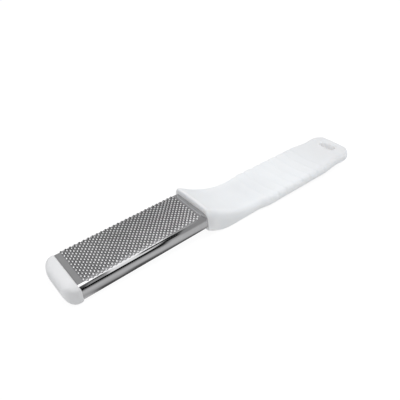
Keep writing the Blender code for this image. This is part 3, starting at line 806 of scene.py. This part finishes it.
# The lamp's size and place are in metres. capward and farward say how much more of the ambient light
# comes from beyond the cap and from the far side. room and farFloor are what the steel mirrors
# between the cards and on the floor beyond the file, and scattered is the dull room that lights the
# plastic by way of the steel.
light = {
    "keyPower": 7.4, "keySize": 0.9, "keyPlace": (0.34, -0.15, 1.12),
    "ambient": 0.58, "ambientTint": (0.975, 0.985, 1.0), "capward": 0.36, "farward": 0.1,
    "room": 0.36, "farFloor": 0.3, "scattered": 0.9,
}

# The floor reaches this many metres each way. It lies a hair lower than the file, by the drop in mm,
# so that no face lies in another. To the camera it is as white as the background, less the shadow.
floorLook = {"size": 3.0, "drop": 0.05, "tone": 0.8, "white": 1.05, "shadow": 0.14}


def makeCamera():
    azimuth, elevation, roll = (math.radians(view[name]) for name in ("azimuth", "elevation", "roll"))
    back = Vector((
        math.sin(azimuth) * math.cos(elevation), -math.cos(azimuth) * math.cos(elevation),
        math.sin(elevation)))
    turn = back.to_track_quat("Z", "Y").to_matrix() @ Matrix.Rotation(roll, 3, "Z")
    eye = Vector(view["target"]) + back * view["distance"]
    data = bpy.data.cameras.new("photoCamera")
    data.lens = view["lens"]
    data.sensor_width = view["sensor"]
    data.clip_start = view["clipStart"]
    camera = bpy.data.objects.new("photoCamera", data)
    bpy.context.scene.collection.objects.link(camera)
    lay = headToWorld.to_3x3().normalized()
    camera.matrix_world = Matrix.Translation(headToWorld @ eye) @ (lay @ turn).to_4x4()
    bpy.context.scene.camera = camera


# What the steel mirrors: patches with soft edges, where later cards cover earlier ones. "along" is
# the place on the sleeve, in mm, whose near edge mirrors the card to the photograph's camera. "up" is
# the angle from the edge in degrees: 180 is the far horizon, 0 the near one, and the floor lies below
# it, down to -90 under the edge and on under the file. The last card lies beyond the cap, where only
# the teeth and other round forms mirror it.
cards = [
    {"along": (-400, 400), "up": (96, 184), "soft": (5, 12), "glow": 0.42},
    {"along": (-9, 57), "up": (10, 76), "soft": (3, 4), "glow": 1.35},
    {"along": (-9, 6.5), "up": (48, 88), "soft": (3, 4), "glow": 2.3},
    {"along": (14, 48), "up": (-15, 30), "soft": (5, 8), "glow": 1.1},
    {"along": (55, 76), "up": (40, 76), "soft": (3, 5), "glow": 0.56},
    {"along": (-22, 16), "up": (-20, 46), "soft": (2, 5), "glow": 0.38},
    {"along": (-22, 3), "up": (-40, 30), "soft": (1.5, 8), "glow": 0.06},
    {"along": (3.5, 12), "up": (24, 46), "soft": (1.5, 4), "glow": 0.03},
    {"along": (36, 60), "up": (17, 45), "soft": (3, 3), "glow": 0.02},
    {"along": (-400, 400), "up": (-72, -50), "soft": (2, 1.5), "glow": 0.62},
    {"along": (-400, 400), "up": (-74, -61), "soft": (2, 4), "glow": 0.46},
    {"along": (-400, 58), "up": (-51, -18), "soft": (4, 3), "glow": 0.0},
    {"along": (53.5, 68), "up": (-32, 40), "soft": (3, 6), "glow": 0.01},
    {"along": (-400, 400), "up": (-180, -70), "soft": (2, 4), "glow": 0.6},
    {"along": (6, 80), "up": (-180, -66), "soft": (6, 2.5), "glow": 0.10},
    {"along": (28, 84), "up": (-180, -62.5), "soft": (8, 2.5), "glow": 0.10},
    {"along": (-400, -105), "up": (10, 150), "soft": (12, 10), "glow": 2.8},
]

# how far the mirrored rays lean along x: at the sleeve's start, and the gain for each mm and degree
fan = {"start": 0.198, "perMm": 0.0042, "perDegree": 0.0009}


def paintCards(tree, along, up):
    glow = light["room"]
    for card in cards:
        mask = None
        for value, (low, high), soft in zip((along, up), (card["along"], card["up"]), card["soft"]):
            rise = smoothRange(tree, value, low - soft, low + soft)
            fall = smoothRange(tree, value, high - soft, high + soft, 1.0, 0.0)
            band = maths(tree, "MULTIPLY", rise, fall)
            mask = maths(tree, "MULTIPLY", mask, band) if mask else band
        glow = blendLevels(tree, mask, glow, card["glow"])
    return glow


def direct(tree, rays, glow):      # keeps the cards' light from reaching the plastic by way of the steel
    scattered = maths(tree, "GREATER_THAN", rays["Diffuse Depth"], 0.5)
    return blendLevels(tree, scattered, glow, light["scattered"])


def floorCards(tree):              # the cards by where on the floor a mirrored ray ends
    where = addNode(tree, "ShaderNodeTexCoord").outputs["Object"]
    x, y = addNode(tree, "ShaderNodeSeparateXYZ", {0: where}).outputs[:2]
    away = maths(tree, "MULTIPLY_ADD", maths(tree, "ABSOLUTE", y), 1 / mm, -sleeve["width"] / 2)
    along = maths(tree, "MULTIPLY_ADD", x, 1 / mm, -headToWorld.translation.x / mm)
    height = headToWorld.translation.z / mm - sleeve["edgeRadius"]
    height = maths(tree, "MULTIPLY_ADD", along, -math.tan(tilt), height)
    up = maths(tree, "MULTIPLY", maths(tree, "ARCTAN2", height, away), -180 / math.pi)
    reach = maths(tree, "MULTIPLY_ADD", away, away, maths(tree, "MULTIPLY", height, height))
    reach = maths(tree, "SQRT", reach)
    lean = maths(tree, "MULTIPLY_ADD", up, -fan["perDegree"], fan["start"])
    along = maths(tree, "SUBTRACT", along, maths(tree, "MULTIPLY", reach, lean))
    along = maths(tree, "DIVIDE", along, maths(tree, "MULTIPLY_ADD", reach, fan["perMm"], 1.0))
    farSide = smoothRange(tree, y, -mm, mm)    # only the near side mirrors the cards
    return blendLevels(tree, farSide, paintCards(tree, along, up), light["farFloor"])


def floorMaterial():               # white to the camera, the cards to mirrors, and clear from below
    made, tree, shader = newMaterial("paleFloor")
    shader.inputs["Base Color"].default_value = (*[floorLook["tone"]] * 3, 1)
    shader.inputs["Roughness"].default_value = 1.0
    shader.inputs["Specular IOR Level"].default_value = 0.0
    rays = addNode(tree, "ShaderNodeLightPath").outputs
    shadowed = addNode(tree, "ShaderNodeBsdfDiffuse", {"Color": (*[floorLook["shadow"]] * 3, 1)})
    glow = glowing(tree, "ShaderNodeEmission", floorLook["white"] - floorLook["shadow"])
    white = addNode(tree, "ShaderNodeAddShader", {0: shadowed.outputs[0], 1: glow})
    mirrored = glowing(tree, "ShaderNodeEmission", direct(tree, rays, floorCards(tree)))
    unseen = blendShaders(tree, rays["Is Glossy Ray"], shader.outputs[0], mirrored)
    above = blendShaders(tree, rays["Is Camera Ray"], unseen, white.outputs[0])
    below = addNode(tree, "ShaderNodeBsdfTransparent").outputs[0]
    fromBelow = addNode(tree, "ShaderNodeNewGeometry").outputs["Backfacing"]
    both = blendShaders(tree, fromBelow, above, below)
    tree.links.new(both, tree.nodes["Material Output"].inputs["Surface"])
    return made


def makeFloor():
    bm = bmesh.new()
    lower = Matrix.Translation((0.0, 0.0, -floorLook["drop"] * mm))
    bmesh.ops.create_grid(bm, x_segments=1, y_segments=1, size=floorLook["size"], matrix=lower)
    made = floorMaterial()
    addPiece("floor", bm, made)


def makeWorld():
    world = bpy.data.worlds.new("studio")
    bpy.context.scene.world = world
    world.use_nodes = True
    tree = world.node_tree
    tree.nodes.clear()
    where = addNode(tree, "ShaderNodeTexCoord").outputs["Generated"]
    x, y, z = addNode(tree, "ShaderNodeSeparateXYZ", {0: where}).outputs
    up = maths(tree, "DEGREES", maths(tree, "ARCTAN2", z, maths(tree, "MULTIPLY", y, -1.0)))
    upright = maths(tree, "SQRT", maths(tree, "MULTIPLY_ADD", y, y, maths(tree, "MULTIPLY", z, z)))
    lean = maths(tree, "MULTIPLY_ADD", up, fan["perDegree"], maths(tree, "DIVIDE", x, upright))
    along = maths(tree, "DIVIDE", maths(tree, "SUBTRACT", lean, fan["start"]), fan["perMm"])
    rays = addNode(tree, "ShaderNodeLightPath").outputs
    glow = direct(tree, rays, paintCards(tree, along, up))
    mirrored = glowing(tree, "ShaderNodeBackground", glow)
    around = maths(tree, "MULTIPLY_ADD", x, -light["capward"] * light["ambient"], light["ambient"])
    around = maths(tree, "MULTIPLY_ADD", y, light["farward"] * light["ambient"], around)
    ambient = glowing(tree, "ShaderNodeBackground", around, light["ambientTint"])
    white = glowing(tree, "ShaderNodeBackground", 1.0)
    unseen = blendShaders(tree, rays["Is Glossy Ray"], ambient, mirrored)
    seen = blendShaders(tree, rays["Is Camera Ray"], unseen, white)
    out = addNode(tree, "ShaderNodeOutputWorld")
    tree.links.new(seen, out.inputs["Surface"])


def makeKeyLight():
    data = bpy.data.lights.new("softKey", "AREA")
    data.shape = "DISK"
    data.size = light["keySize"]
    data.energy = light["keyPower"]
    lamp = bpy.data.objects.new("softKey", data)
    bpy.context.scene.collection.objects.link(lamp)
    lamp.location = light["keyPlace"]
    lamp.rotation_euler = Vector(light["keyPlace"]).to_track_quat("Z", "Y").to_euler()
    lamp.visible_glossy = False    # the cards stand for it in mirrors


makeCamera()
makeFloor()
makeWorld()
makeKeyLight()
bpy.context.scene.view_settings.view_transform = "Standard"
print("stage, light and camera set")
